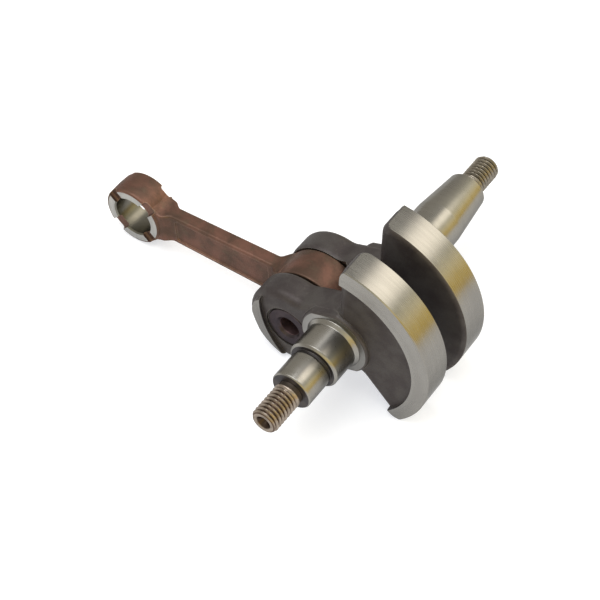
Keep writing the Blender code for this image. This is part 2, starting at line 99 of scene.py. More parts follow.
# Shafts.
JOURNAL_RADIUS = 7.5 * MM
SEAL_JOURNAL_RADIUS = 6.0 * MM
THREAD_RADIUS = 3.95 * MM
THREAD_PITCH = 1.25 * MM
THREAD_DEPTH = 0.68 * MM
NECK_RADIUS = 3.7 * MM
TIP_RADIUS = 3.3 * MM
TIP_CHAMFER = 1.0 * MM
ROOT_RING_RADIUS = 8.4 * MM
SHAFT_ROOT_OUT = 10.2 * MM
JOURNAL_CHAMFER = 0.6 * MM
SMALL_CHAMFER = 0.4 * MM
FRONT_JOURNAL_END = 25.0 * MM
FRONT_SEAL_END = 35.0 * MM
FRONT_THREAD_START = 36.6 * MM
FRONT_TIP = 47.1 * MM
REAR_JOURNAL_END = 37.4 * MM
TAPER_END = 53.2 * MM
TAPER_END_RADIUS = 5.95 * MM
REAR_THREAD_START = 54.8 * MM
REAR_TIP = 65.0 * MM
CENTRE_HOLE_RADIUS = 2.2 * MM
CENTRE_DRILL_RADIUS = 0.9 * MM
CENTRE_HOLE_DEPTH = 4.0 * MM
COUNTERSINK_HALF_ANGLE = math.radians(35)

# Crankpin, rollers and rod.
RUNNING_GAP = 0.05 * MM
PIN_RADIUS = 6.5 * MM
PIN_EDGE = 0.2 * MM
PIN_BORE_RADIUS = 3.1 * MM
PIN_HALF_LENGTH = 14.1 * MM
PIN_HOLE_MOUTH_RADIUS = 7.05 * MM
PIN_HOLE_MOUTH_DEPTH = 0.8 * MM
PIN_BORE_CHAMFER = 0.8 * MM
ROLLER_COUNT = 15
ROLLER_RADIUS = 1.2 * MM
ROLLER_LENGTH = 6.2 * MM
ROLLER_EDGE = 0.15 * MM
ROD_SIDE_SHIFT = 0.2 * MM
ROD_END_FLOAT = 0.15 * MM
BIG_END_BORE_RADIUS = 9.0 * MM
BIG_END_RADIUS = 12.5 * MM
BIG_END_WIDTH = 10.3 * MM
SMALL_END_BORE_RADIUS = 6.4 * MM
SMALL_END_RADIUS = 9.9 * MM
SMALL_END_WIDTH = 9.3 * MM
PARTING_DRAFT = 0.2 * MM
RIM_ROUNDING = 0.6 * MM
BIG_RIM_ROUNDING = 0.5 * MM
SMALL_RIM_ROUNDING = 0.7 * MM
SHANK_HALF_HEIGHT_BIG = 6.3 * MM
SHANK_HALF_HEIGHT_SMALL = 4.9 * MM
SHANK_HALF_THICKNESS = 2.25 * MM
BIG_END_FILLET = 6.0 * MM
SMALL_END_FILLET = 4.0 * MM
SHOULDER_LENGTH = 3.2 * MM
BIG_END_STEP = BIG_END_RADIUS - 1.5 * MM
SHANK_EDGE = 0.7 * MM
PANEL_DEPTH = 0.45 * MM
PANEL_MARGIN = 1.1 * MM
PANEL_CORNER = 1.2 * MM
OIL_SLOT_WIDTH = 4.2 * MM
OIL_SLOT_DEPTH = 1.23 * MM
SLOT_FLOOR_CORNER = 0.5 * MM
# A little off 45 degrees, so that no cutter edge meets a vertex of the eye.
SLOT_TURN = math.radians(45.6)

TURNED_STEPS = 192
ROLLER_STEPS = 48
# An odd number, so that its vertices stay off those of the web's outline.
ENVELOPE_STEPS = 361
HOLLOW_STEPS = 256
SHANK_SECTIONS = 110
OUTLINE_STEP = math.radians(2.5)
SOFT_EDGE = 0.12 * MM
MARK_LENGTH = 0.6 * MM

# The light tent before its strength: colour by height above the horizon, and a bright panel.
SKY_STOPS = ((0.0, (0.70, 0.48, 0.08)), (0.20, (0.78, 0.57, 0.16)), (0.36, (0.98, 0.86, 0.54)),
             (0.55, (0.48, 0.47, 0.38)), (0.85, (0.30, 0.30, 0.29)), (1.0, (0.30, 0.30, 0.30)))
LEFT_SKY = (0.33, 0.31, 0.27)
LEFT_SKY_EDGE = (-0.5, 0.2)
PANEL_DIRECTION = (0.34, 0.52, 0.79)
PANEL_COLOUR = (1.7, 1.55, 1.3)
PANEL_EDGE = (0.93, 0.995)
TENT_STRENGTH = 2.0
BACKDROP = (0.5, 0.5, 0.5)

# Camera, from the middle of the main axis, and the floor.
CAMERA_OFFSET = Vector((139.02, -228.42, 326.87)) * MM
CAMERA_DOWN = math.radians(50.549)
CAMERA_RIGHT = math.radians(35.116)
CAMERA_LENS = 93.29
CAMERA_SENSOR = 36.0
CAMERA_NEAR = 0.01
FLOOR_HALF_SIDE = 0.6
FLOOR_THICKNESS = 0.002


# ---------------------------------------------------------------- shapes

def polar(radius, angle):
    return radius * math.cos(angle), radius * math.sin(angle)


def arc(centre, radius, start, end, step=OUTLINE_STEP):
    """Points along an arc in the X-Z plane, ends included."""
    count = max(1, math.ceil(abs(end - start) / step - 1e-6))
    angles = [start + (end - start) * i / count for i in range(count + 1)]
    return [(centre[0] + radius * math.cos(a), centre[1] + radius * math.sin(a)) for a in angles]


def soften(points, size=SOFT_EDGE, steps=3):
    """The polyline with each inner corner rounded over about size."""
    rounded = [points[0]]
    for before, corner, after in zip(points, points[1:], points[2:]):
        a, b, c = Vector(before), Vector(corner), Vector(after)
        reach = min(size, 0.45 * (a - b).length, 0.45 * (c - b).length)
        start = b + (a - b).normalized() * reach
        end = b + (c - b).normalized() * reach
        for i in range(steps + 1):
            t = i / steps
            rounded.append(tuple(start * (1 - t) ** 2 + b * 2 * t * (1 - t) + end * t * t))
    rounded.append(points[-1])
    return rounded


def web_outline(rim_radius, inset=0.0, lobe_inset=0.0):
    """The web seen along the main axis: crankpin lobe at -X, counterweight at +X."""
    lobe_centre = (-LOBE_CENTRE, 0)
    lobe, neck = LOBE_RADIUS - lobe_inset, NECK_HALF_WIDTH - inset
    fillet_z = neck + NECK_FILLET
    fillet_x = lobe_centre[0] + math.sqrt((lobe + NECK_FILLET) ** 2 - fillet_z**2)
    contact = math.atan2(fillet_z, fillet_x - lobe_centre[0])
    upper = arc(lobe_centre, lobe, math.pi, contact)
    upper += arc((fillet_x, fillet_z), NECK_FILLET, contact + math.pi, 1.5 * math.pi)[1:]
    half = COUNTERWEIGHT_HALF_ANGLE - inset / BAND_INNER_RADIUS
    root = COUNTERWEIGHT_ROOT_FILLET
    root_z = neck + root
    root_x = (root_z * math.cos(half) - root) / math.sin(half)
    upper += arc((root_x, root_z), root, -0.5 * math.pi, half - 0.5 * math.pi)
    corner = COUNTERWEIGHT_CORNER
    slant = half - math.asin(corner / (rim_radius - corner))
    upper += arc(polar(rim_radius - corner, slant), corner, half + 0.5 * math.pi, slant, 4 * OUTLINE_STEP)
    upper += arc((0, 0), rim_radius, slant, 0)[1:]
    lower = [(x, -z) for x, z in reversed(upper[1:-1])]
    return upper + lower


def mesh_object(name, vertices, faces, surface, face_slots=None):
    """A linked object from vertices and faces. surface is one material or a list of them."""
    mesh = bpy.data.meshes.new(name)
    mesh.from_pydata(vertices, [], faces)
    surfaces = surface if isinstance(surface, list) else [surface]
    for each in surfaces:
        mesh.materials.append(each)
    if face_slots:
        mesh.polygons.foreach_set("material_index", face_slots)
    bm = bmesh.new()
    bm.from_mesh(mesh)
    bmesh.ops.remove_doubles(bm, verts=bm.verts, dist=1e-7)
    bmesh.ops.recalc_face_normals(bm, faces=bm.faces)
    bm.to_mesh(mesh)
    bm.free()
    obj = bpy.data.objects.new(name, mesh)
    bpy.context.scene.collection.objects.link(obj)
    return obj


def plate(name, outline, y_from, y_to, surface):
    """A flat plate with the given X-Z outline, between two Y planes."""
    count = len(outline)
    vertices = [(x, y_from, z) for x, z in outline] + [(x, y_to, z) for x, z in outline]
    faces = [list(range(count)), list(range(count, 2 * count))]
    faces += [(i, (i + 1) % count, count + (i + 1) % count, count + i) for i in range(count)]
    return mesh_object(name, vertices, faces, surface)


def turned(name, profile, surface, steps=TURNED_STEPS, centre=(0, 0), slots=None, radius_at=None):
    """A solid turned about an axis along Y, from a profile of (radius, y).

    slots(first, second) picks the material of the stretch between two points of the profile, and
    radius_at(radius, y, angle) may cut a thread.
    """
    vertices, rings = [], []
    for radius, y in profile:
        count = 1 if radius < 1e-9 else steps
        rings.append((len(vertices), count))
        for i in range(count):
            angle = 2 * math.pi * i / steps
            local = radius_at(radius, y, angle) if radius_at else radius
            vertices.append((centre[0] + local * math.cos(angle), y, centre[1] + local * math.sin(angle)))
    faces, face_slots = [], []
    for k, ((a, a_count), (b, b_count)) in enumerate(zip(rings, rings[1:])):
        for i in range(steps):
            j = (i + 1) % steps
            corners = [a + i % a_count, a + j % a_count, b + j % b_count, b + i % b_count]
            faces.append(list(dict.fromkeys(corners)))
            face_slots.append(slots(profile[k], profile[k + 1]) if slots else 0)
    return mesh_object(name, vertices, faces, surface, face_slots)


def bevel(obj, width, segments):
    modifier = obj.modifiers.new("rounded_edges", "BEVEL")
    modifier.width = width
    modifier.segments = segments
    modifier.limit_method = "ANGLE"
    modifier.angle_limit = math.radians(40)
    modifier.harden_normals = False


def boolean(obj, operation, other):
    """Cuts or joins with other, keeping each surface's material. bake_shape() removes other."""
    modifier = obj.modifiers.new(operation.lower(), "BOOLEAN")
    modifier.operation = operation
    modifier.object = other
    modifier.solver = "EXACT"
    modifier.material_mode = "TRANSFER"


def bake_shape(obj, helpers):
    """Replaces the object's modifiers by their result and removes the helpers."""
    bpy.context.view_layer.update()
    graph = bpy.context.evaluated_depsgraph_get()
    mesh = bpy.data.meshes.new_from_object(obj.evaluated_get(graph), depsgraph=graph)
    obj.modifiers.clear()
    obj.data = mesh
    for helper in helpers:
        bpy.data.objects.remove(helper, do_unlink=True)


def smooth(obj, angle=30, weighted=False):
    obj.data.shade_smooth()
    obj.data.set_sharp_from_angle(angle=math.radians(angle))
    if weighted:
        modifier = obj.modifiers.new("face_weighted_normals", "WEIGHTED_NORMAL")
        modifier.keep_sharp = True
        modifier.weight = 60


# ---------------------------------------------------------------- materials

class Nodes:
    """A short way to write a material's node tree."""

    def __init__(self, name):
        self.material = bpy.data.materials.new(name)
        self.material.use_nodes = True
        self.tree = self.material.node_tree
        self.shader = self.tree.nodes["Principled BSDF"]
        self.coordinates = self.add("ShaderNodeTexCoord").outputs["Object"]

    def add(self, kind, **values):
        node = self.tree.nodes.new(kind)
        for key, value in values.items():
            setattr(node, key, value)
        return node

    def link(self, output, socket):
        self.tree.links.new(output, socket)

    def math(self, operation, first, second=None):
        node = self.add("ShaderNodeMath", operation=operation)
        for socket, value in zip(node.inputs, (first, second)):
            if value is None:
                continue
            if isinstance(value, (int, float)):
                socket.default_value = value
            else:
                self.link(value, socket)
        return node.outputs[0]

    def noise(self, scale, detail=3.0, roughness=0.5, vector=None, distortion=0.0):
        """Noise with features of about 1/scale metres."""
        node = self.add("ShaderNodeTexNoise")
        node.inputs["Scale"].default_value = scale
        node.inputs["Detail"].default_value = detail
        node.inputs["Roughness"].default_value = roughness
        node.inputs["Distortion"].default_value = distortion
        self.link(vector or self.coordinates, node.inputs["Vector"])
        return node.outputs["Fac"]

    def ramp(self, value, low, high, start=0.0, end=1.0):
        """value from low..high mapped to start..end, smoothly and held at both ends."""
        node = self.add("ShaderNodeMapRange", interpolation_type="SMOOTHSTEP")
        self.link(value, node.inputs["Value"])
        for socket, number in zip(node.inputs[1:5], (low, high, start, end)):
            socket.default_value = number
        return node.outputs["Result"]

    def mix(self, share, first, second):
        node = self.add("ShaderNodeMix", data_type="RGBA")
        colour_inputs = [socket for socket in node.inputs if socket.type == "RGBA"]
        self.link(share, node.inputs["Factor"])
        for socket, value in zip(colour_inputs, (first, second)):
            if isinstance(value, tuple):
                socket.default_value = (*value, 1)
            else:
                self.link(value, socket)
        return next(socket for socket in node.outputs if socket.type == "RGBA")

    def turning_marks(self):
        """A coordinate that runs quickly across the cut's rings and slowly round them."""
        split = self.add("ShaderNodeSeparateXYZ")
        self.link(self.coordinates, split.inputs[0])
        x, z = split.outputs["X"], split.outputs["Z"]
        squares = self.math("ADD", self.math("MULTIPLY", x, x), self.math("MULTIPLY", z, z))
        radius = self.math("SQRT", squares)
        angle = self.math("ARCTAN2", z, x)
        join = self.add("ShaderNodeCombineXYZ")
        self.link(radius, join.inputs["X"])
        self.link(split.outputs["Y"], join.inputs["Y"])
        self.link(self.math("MULTIPLY", angle, MARK_LENGTH), join.inputs["Z"])
        return join.outputs[0]

    def bump(self, height, distance):
        node = self.add("ShaderNodeBump")
        node.inputs["Strength"].default_value = 1.0
        node.inputs["Distance"].default_value = distance
        self.link(height, node.inputs["Height"])
        return node.outputs["Normal"]

    def edge_share(self, radius):
        """About 1 on convex and concave edges and 0 elsewhere."""
        rounded = self.add("ShaderNodeBevel", samples=4)
        rounded.inputs["Radius"].default_value = radius
        plain = self.add("ShaderNodeNewGeometry")
        dot = self.add("ShaderNodeVectorMath", operation="DOT_PRODUCT")
        self.link(rounded.outputs[0], dot.inputs[0])
        self.link(plain.outputs["Normal"], dot.inputs[1])
        return self.ramp(self.math("SUBTRACT", 1.0, dot.outputs["Value"]), 0.004, 0.05)

    def finish(self, colour, roughness, metallic, normal=None):
        self.link(colour, self.shader.inputs["Base Color"])
        if isinstance(roughness, float):
            self.shader.inputs["Roughness"].default_value = roughness
        else:
            self.link(roughness, self.shader.inputs["Roughness"])
        self.shader.inputs["Metallic"].default_value = metallic
        grazing = 0.5 if metallic > 0.5 else 1.0
        self.shader.inputs["Specular Tint"].default_value = (grazing, grazing, grazing, 1)
        if normal:
            self.link(normal, self.shader.inputs["Normal"])
        return self.material


def turned_steel(name, light, dark, roughness=(0.2, 0.34), mark_scale=5200.0, mark_depth=0.012 * MM):
    """Steel cut on a lathe: fine rings, faint darker streaks and a few worn spots."""
    n = Nodes(name)
    rings = n.turning_marks()
    fine = n.noise(mark_scale, 2.0, 0.6, rings)
    broad = n.noise(700.0, 2.0, 0.5, rings)
    patches = n.noise(160.0, 4.0, 0.6)
    share = n.math("ADD", n.math("MULTIPLY", broad, 0.5), n.math("MULTIPLY", patches, 0.5))
    colour = n.mix(n.ramp(share, 0.35, 0.65), dark, light)
    rough = n.ramp(n.math("ADD", n.math("MULTIPLY", fine, 0.6), n.math("MULTIPLY", patches, 0.4)),
                   0.35, 0.65, *roughness)
    return n.finish(colour, rough, 1.0, n.bump(fine, mark_depth))


def forged_steel():
    """The dark scale of a drop forging, with fine grain, soft dents, and edges painted lighter: partly
    rubbed wear, partly a painted highlight.
    """
    n = Nodes("forged_steel")
    grain = n.noise(2600.0, 4.0, 0.65)
    dents = n.noise(420.0, 3.0, 0.55)
    mottle = n.noise(150.0, 4.0, 0.6)
    base = n.mix(n.ramp(mottle, 0.35, 0.65), (0.046, 0.039, 0.041), (0.068, 0.062, 0.062))
    base = n.mix(n.ramp(grain, 0.55, 0.75), base, (0.090, 0.083, 0.080))
    # Lighter edges: partly rubbed wear, partly a painted highlight on the rounded edges.
    edge = n.edge_share(0.5 * MM)
    rubbed_and_highlit_edge = n.math("MULTIPLY", edge, n.ramp(dents, 0.3, 0.6, 0.15, 0.55))
    colour = n.mix(rubbed_and_highlit_edge, base, (0.17, 0.162, 0.152))
    height = n.math("ADD", dents, n.math("MULTIPLY", grain, 0.3))
    rough = n.ramp(grain, 0.3, 0.7, 0.42, 0.62)
    return n.finish(colour, rough, 0.55, n.bump(height, 0.06 * MM))


def copper_washed():
    """Forged steel under a thin copper wash: reddish where fresh, brown where aged, and lighter on the
    edges, partly rubbed wear and partly a painted highlight.
    """
    n = Nodes("copper_washed_steel")
    grain = n.noise(2300.0, 4.0, 0.6)
    dents = n.noise(380.0, 3.0, 0.5)
    cloud = n.noise(110.0, 4.0, 0.6, distortion=0.4)
    base = n.mix(n.ramp(cloud, 0.34, 0.66), (0.080, 0.050, 0.038), (0.150, 0.078, 0.060))
    base = n.mix(n.ramp(dents, 0.5, 0.75, 0.0, 0.6), base, (0.095, 0.070, 0.050))
    # Lighter edges: partly rubbed wear, partly a painted highlight on the rounded edges.
    edge = n.edge_share(0.45 * MM)
    worn = n.math("MULTIPLY", edge, n.ramp(cloud, 0.3, 0.7, 0.2, 0.6))
    colour = n.mix(worn, base, (0.36, 0.24, 0.18))
    height = n.math("ADD", dents, n.math("MULTIPLY", grain, 0.35))
    rough = n.ramp(grain, 0.3, 0.7, 0.40, 0.58)
    return n.finish(colour, rough, 0.75, n.bump(height, 0.05 * MM))


def threaded_steel(name, crest, root):
    """A cut thread: worn crests, painted shade in the grooves and darker painted shade in the centre hole.
    """
    n = Nodes(name)
    rings = n.turning_marks()
    split = n.add("ShaderNodeSeparateXYZ")
    n.link(rings, split.inputs[0])
    radius = split.outputs["X"]
    spots = n.noise(900.0, 3.0, 0.6)
    # Painted shade: the grooves take the darker root colour, and the centre hole is darker still.
    bottom = THREAD_RADIUS - THREAD_DEPTH
    painted_groove_shade = n.math("MULTIPLY", n.ramp(radius, bottom + 0.1 * MM, bottom + 0.36 * MM, 1.0, 0.0),
                    n.ramp(radius, bottom - 0.15 * MM, bottom - 0.05 * MM))
    hole = n.ramp(radius, CENTRE_HOLE_RADIUS - 0.2 * MM, CENTRE_HOLE_RADIUS + 0.1 * MM, 1.0, 0.0)
    worn = n.mix(n.ramp(spots, 0.3, 0.7), crest, tuple(0.7 * value for value in crest))
    colour = n.mix(painted_groove_shade, worn, root)
    colour = n.mix(hole, colour, tuple(0.5 * value for value in root))
    return n.finish(colour, n.ramp(spots, 0.3, 0.7, 0.28, 0.4), 0.95)


def tinted_steel(name, cool, warm, rough=(0.3, 0.45)):
    """Hardened steel with a heat tint that drifts from cool to warm."""
    n = Nodes(name)
    rings = n.turning_marks()
    drift = n.noise(300.0, 3.0, 0.5)
    fine = n.noise(4200.0, 2.0, 0.6, rings)
    colour = n.mix(n.ramp(drift, 0.35, 0.65), cool, warm)
    return n.finish(colour, n.ramp(fine, 0.3, 0.7, *rough), 0.9, n.bump(fine, 0.01 * MM))


def floor_sheet():
    """The lit sheet of a light table: pale, matt and glowing a little, so that shadows stay faint."""
    n = Nodes("floor_sheet")
    cloud = n.ramp(n.noise(300.0, 3.0), 0.3, 0.7)
    n.link(n.mix(cloud, (0.55, 0.57, 0.62), (0.56, 0.58, 0.63)), n.shader.inputs["Emission Color"])
    n.shader.inputs["Emission Strength"].default_value = 1.0
    return n.finish(n.mix(cloud, (0.50, 0.50, 0.50), (0.51, 0.51, 0.51)), 0.9, 0.0)


# ---------------------------------------------------------------- crank

def shaft_root():
    """The part of both shafts inside the web, and the small ring at the foot of the main journal."""
    return [(0, SHAFT_ROOT_OUT), (ROOT_RING_RADIUS, SHAFT_ROOT_OUT),
            (ROOT_RING_RADIUS, SHOULDER_OUT + 0.2 * MM), (JOURNAL_RADIUS, SHOULDER_OUT + 1.1 * MM)]


def front_shaft_profile():
    undercut = SEAL_JOURNAL_RADIUS - 0.25 * MM
    return soften(shaft_root() + [
        (JOURNAL_RADIUS, FRONT_JOURNAL_END - JOURNAL_CHAMFER),
        (JOURNAL_RADIUS - JOURNAL_CHAMFER, FRONT_JOURNAL_END),
        (undercut, FRONT_JOURNAL_END),
        (undercut, FRONT_JOURNAL_END + 0.9 * MM),
        (SEAL_JOURNAL_RADIUS, FRONT_JOURNAL_END + 1.2 * MM),
        (SEAL_JOURNAL_RADIUS, FRONT_SEAL_END - SMALL_CHAMFER),
        (SEAL_JOURNAL_RADIUS - SMALL_CHAMFER, FRONT_SEAL_END),
        (NECK_RADIUS, FRONT_SEAL_END),
    ]) + threaded_tip(FRONT_SEAL_END, FRONT_THREAD_START, FRONT_TIP)


def rear_shaft_profile():
    return soften(shaft_root() + [
        (JOURNAL_RADIUS, REAR_JOURNAL_END),
        (TAPER_END_RADIUS, TAPER_END - SMALL_CHAMFER),
        (TAPER_END_RADIUS - SMALL_CHAMFER, TAPER_END),
        (NECK_RADIUS, TAPER_END),
    ]) + threaded_tip(TAPER_END, REAR_THREAD_START, REAR_TIP)


def threaded_tip(start, thread_start, tip):
    """Relief neck, a blank finely divided for the thread, and the chamfered, centre-drilled end."""
    crest_end = tip - TIP_CHAMFER
    length = crest_end - thread_start
    rings = math.ceil(length / (THREAD_PITCH / 16))
    blank = [(THREAD_RADIUS, thread_start + length * i / rings) for i in range(rings + 1)]
    end = []
    for i in range(1, 9):
        share = i / 8
        radius = THREAD_RADIUS - (THREAD_RADIUS - TIP_RADIUS) * share**1.6
        end.append((radius, crest_end + TIP_CHAMFER * share))
    countersink = tip - (CENTRE_HOLE_RADIUS - CENTRE_DRILL_RADIUS) / math.tan(COUNTERSINK_HALF_ANGLE)
    drill = soften([(TIP_RADIUS, tip), (CENTRE_HOLE_RADIUS, tip), (CENTRE_DRILL_RADIUS, countersink),
                    (CENTRE_DRILL_RADIUS, tip - CENTRE_HOLE_DEPTH + CENTRE_DRILL_RADIUS),
                    (0, tip - CENTRE_HOLE_DEPTH)], 0.08 * MM)
    neck = [(NECK_RADIUS, start + 0.1 * MM), (NECK_RADIUS, thread_start - 0.4 * MM)]
    return neck + blank + end + drill[1:]


def thread_cut(thread_start, tip, side):
    """radius_at for a right-hand metric thread, running out at its inner end."""

    def radius_at(radius, y, angle):
        out = side * y
        in_hole = radius < CENTRE_HOLE_RADIUS + 0.2 * MM
        if in_hole or out < thread_start - 0.01 * MM or out > tip - 0.01 * MM:
            return radius
        turns = out / THREAD_PITCH + angle / (2 * math.pi)
        wave = abs(2 * (turns % 1.0) - 1)
        depth = THREAD_DEPTH * min(1.0, max(0.0, 1.25 * wave - 0.125))
        run_out = min(1.0, max(0.0, (out - thread_start) / THREAD_PITCH))
        return min(radius, THREAD_RADIUS - depth * run_out)

    return radius_at


def shoulder_outline():
    """The bearing shoulder: a disc whose top and bottom are flattened to the neck's width."""
    flat = math.asin(SHOULDER_HALF_HEIGHT / SHOULDER_RADIUS)
    right = arc((0, 0), SHOULDER_RADIUS, -flat, flat)
    left = arc((0, 0), SHOULDER_RADIUS, math.pi - flat, math.pi + flat)
    return right + left


def web(name, side, skin, cut, boss_cut):
    """One web: a rounded forging cut to size on a lathe. side is -1 at the front and +1 at the rear."""
    forging = plate(name, web_outline(FORGED_RADIUS), side * WEB_INNER_OUT, side * FORGED_FACE_OUT, skin)
    bevel(forging, FORGED_EDGE, 6)
    rim_outline = web_outline(FORGED_RADIUS + 0.2 * MM, RIM_SIDE_INSET, RIM_LOBE_INSET)
    rim = plate("rim", rim_outline, side * RIM_ROOT_OUT, side * RIM_FACE_OUT, skin)
    bevel(rim, RIM_EDGE, 6)
    root, top = side * CUTTER_ROOT_OUT, side * CUTTER_TOP_OUT
    hollow = turned("hollow", [(0, root), (BAND_INNER_RADIUS, root), (BAND_INNER_RADIUS, top), (0, top)],
                    skin, HOLLOW_STEPS)
    boolean(rim, "DIFFERENCE", hollow)
    boolean(forging, "UNION", rim)
    # What the lathe leaves: the rim at its finished radius, under a shallow cone.
    fall = (BAND_INNER_OUT - BAND_OUTER_OUT) / (WEB_RADIUS - RIM_CHAMFER - BAND_INNER_RADIUS)
    peak = BAND_OUTER_OUT + fall * (WEB_RADIUS - RIM_CHAMFER)
    finished = [(0, 0), (WEB_RADIUS, 0), (WEB_RADIUS, side * (BAND_OUTER_OUT - RIM_CHAMFER)),
                (WEB_RADIUS - RIM_CHAMFER, side * BAND_OUTER_OUT), (0, side * peak)]
    envelope = turned("envelope", finished, cut, ENVELOPE_STEPS)
    boolean(forging, "INTERSECT", envelope)
    shoulder = plate("shoulder", shoulder_outline(), side * SHOULDER_ROOT_OUT,
                     side * (SHOULDER_OUT + 0.1 * MM), skin)
    bevel(shoulder, SHOULDER_EDGE, 5)
    boolean(forging, "UNION", shoulder)
    reach = SHOULDER_RADIUS + 1 * MM
    bottom, top = side * SHOULDER_OUT, side * (SHOULDER_OUT + 1 * MM)
    face = turned("boss_face", [(0, bottom), (reach, bottom), (reach, top), (0, top)], boss_cut)
    boolean(forging, "DIFFERENCE", face)
    # The rod sits close to the rear lobe.
    inner = side * (LOBE_INNER_OUT if side < 0 else 0.5 * BIG_END_WIDTH + ROD_SIDE_SHIFT + ROD_END_FLOAT)
    facing = turned("facing", [(0, 0), (LOBE_FACING_RADIUS, 0), (LOBE_FACING_RADIUS, inner), (0, inner)],
                    cut, centre=(-THROW, 0))
    boolean(forging, "DIFFERENCE", facing)
    hole = PIN_RADIUS + RUNNING_GAP
    mouth = FORGED_FACE_OUT - PIN_HOLE_MOUTH_DEPTH
    pin_hole = turned("pin_hole", [(0, 0), (hole, 0), (hole, side * mouth),
                                   (PIN_HOLE_MOUTH_RADIUS, side * (mouth + 0.2 * MM)),
                                   (PIN_HOLE_MOUTH_RADIUS, side * CUTTER_TOP_OUT),
                                   (0, side * CUTTER_TOP_OUT)], skin, centre=(-THROW, 0))
    boolean(forging, "DIFFERENCE", pin_hole)
    bake_shape(forging, [rim, hollow, envelope, shoulder, face, facing, pin_hole])
    smooth(forging, 28, weighted=True)
    return forging


def shaft(name, side, profile, neck_start, thread_start, tip, surfaces):
    """One shaft, with its threads and the darker faces of the steps between its journals."""

    def slots(first, second):
        out = side * 0.5 * (first[1] + second[1])
        if out > neck_start + 0.05 * MM:
            return 1
        flat = abs(second[1] - first[1]) < 0.25 * abs(second[0] - first[0])
        sunk = side < 0 and max(first[0], second[0]) < SEAL_JOURNAL_RADIUS - 0.1 * MM
        return 2 if (flat or sunk) and out > SHOULDER_OUT + 2 * MM else 0

    points = [(radius, side * out) for radius, out in profile]
    made = turned(name, points, surfaces, slots=slots, radius_at=thread_cut(thread_start, tip, side))
    smooth(made, 35)
    return made


def crankpin(surfaces):
    """The hollow pin: its own surface outside, and the second one in its bore."""

    def slots(first, second):
        return 1 if max(first[0], second[0]) < PIN_BORE_RADIUS + 0.5 * PIN_BORE_CHAMFER else 0

    end, mouth = PIN_HALF_LENGTH, PIN_BORE_CHAMFER
    half = [(PIN_BORE_RADIUS, 0), (PIN_BORE_RADIUS, end - mouth), (PIN_BORE_RADIUS + mouth, end),
            (PIN_RADIUS - PIN_EDGE, end), (PIN_RADIUS, end - PIN_EDGE), (PIN_RADIUS, 0)]
    other = [(radius, -y) for radius, y in reversed(half)]
    made = turned("crankpin_tube", soften(half + other[1:]), surfaces, slots=slots)
    smooth(made, 35)
    return made


def roller(name, surface):
    half, flat = 0.5 * ROLLER_LENGTH, ROLLER_RADIUS - ROLLER_EDGE
    profile = [(0, -half), (flat, -half), (ROLLER_RADIUS, -half + ROLLER_EDGE),
               (ROLLER_RADIUS, half - ROLLER_EDGE), (flat, half), (0, half)]
    made = turned(name, soften(profile, 0.05 * MM), surface, ROLLER_STEPS)
    smooth(made)
    return made


# ---------------------------------------------------------------- rod

def smooth_step(value):
    value = min(1.0, max(0.0, value))
    return value * value * (3 - 2 * value)


def shank_half_height(along, length):
    """Half of the shank's height in the plane of motion, with the fillets that run into both eyes."""
    height = SHANK_HALF_HEIGHT_BIG + (SHANK_HALF_HEIGHT_SMALL - SHANK_HALF_HEIGHT_BIG) * along / length
    big_end = (BIG_END_RADIUS, 0.0, BIG_END_FILLET)
    small_end = (SMALL_END_RADIUS, length, SMALL_END_FILLET)
    for eye, centre, fillet in (big_end, small_end):
        reach = math.sqrt((eye + fillet) ** 2 - (height + fillet) ** 2)
        contact = reach * eye / (eye + fillet)
        distance = abs(along - centre)
        if distance < reach:
            inside = reach - max(distance, contact)
            height += fillet - math.sqrt(fillet**2 - inside**2)
    return height


def shank_half_thickness(along, length):
    """Half of the shank's thickness along Y: thin in the middle, with a shoulder before each eye."""
    big_rise = smooth_step((BIG_END_STEP + SHOULDER_LENGTH - along) / SHOULDER_LENGTH)
    small_rise = smooth_step((SMALL_END_RADIUS + SHOULDER_LENGTH - (length - along)) / SHOULDER_LENGTH)
    big = 0.5 * BIG_END_WIDTH - RIM_ROUNDING - SHANK_HALF_THICKNESS
    small = 0.5 * SMALL_END_WIDTH - RIM_ROUNDING - SHANK_HALF_THICKNESS
    return SHANK_HALF_THICKNESS + big * big_rise + small * small_rise


def shank(length, surface):
    """A loft of rectangles with rounded corners, from inside one eye to inside the other."""
    start, end = 0.5 * BIG_END_RADIUS, length - 0.5 * SMALL_END_RADIUS
    count, corner_steps = SHANK_SECTIONS, 4
    vertices, faces = [], []
    for i in range(count + 1):
        along = start + (end - start) * i / count
        height, thickness = shank_half_height(along, length), shank_half_thickness(along, length)
        for quarter in range(4):
            centre_y = (thickness - SHANK_EDGE) * (1 if quarter in (0, 3) else -1)
            centre_z = (height - SHANK_EDGE) * (1 if quarter in (0, 1) else -1)
            for k in range(corner_steps + 1):
                angle = 0.5 * math.pi * (quarter + k / corner_steps)
                y, z = polar(SHANK_EDGE, angle)
                vertices.append((-along, centre_y + y, centre_z + z))
    around = 4 * (corner_steps + 1)
    for i in range(count):
        for k in range(around):
            j = (k + 1) % around
            faces.append((i * around + k, i * around + j, (i + 1) * around + j, (i + 1) * around + k))
    faces += [list(range(around)), list(range(count * around, (count + 1) * around))]
    return mesh_object("shank", vertices, faces, surface)


def eye_profile(radius, width, rounding):
    """A rod eye: parting ridge in the middle, draft to both sides and rounded rims."""
    half, side = 0.5 * width, radius - PARTING_DRAFT
    rim = [(side, half - rounding)]
    for i in range(1, 7):
        angle = 0.5 * math.pi * i / 6
        rim.append((side - rounding * (1 - math.cos(angle)), half - rounding * (1 - math.sin(angle))))
    outer = [(radius - 0.05 * MM, 0.35 * MM)] + rim
    mirrored = [(r, -y) for r, y in reversed(outer)]
    return [(0, -half)] + mirrored + outer + [(0, half)]


def bore_profile(radius, width):
    """A cutter for an eye's bore, with a small chamfer at both faces."""
    past, flare = 0.5 * width + 1 * MM, 1.4 * MM
    wide, inner = radius + flare, past - flare
    return [(0, -past), (wide, -past), (radius, -inner), (radius, inner), (wide, past), (0, past)]


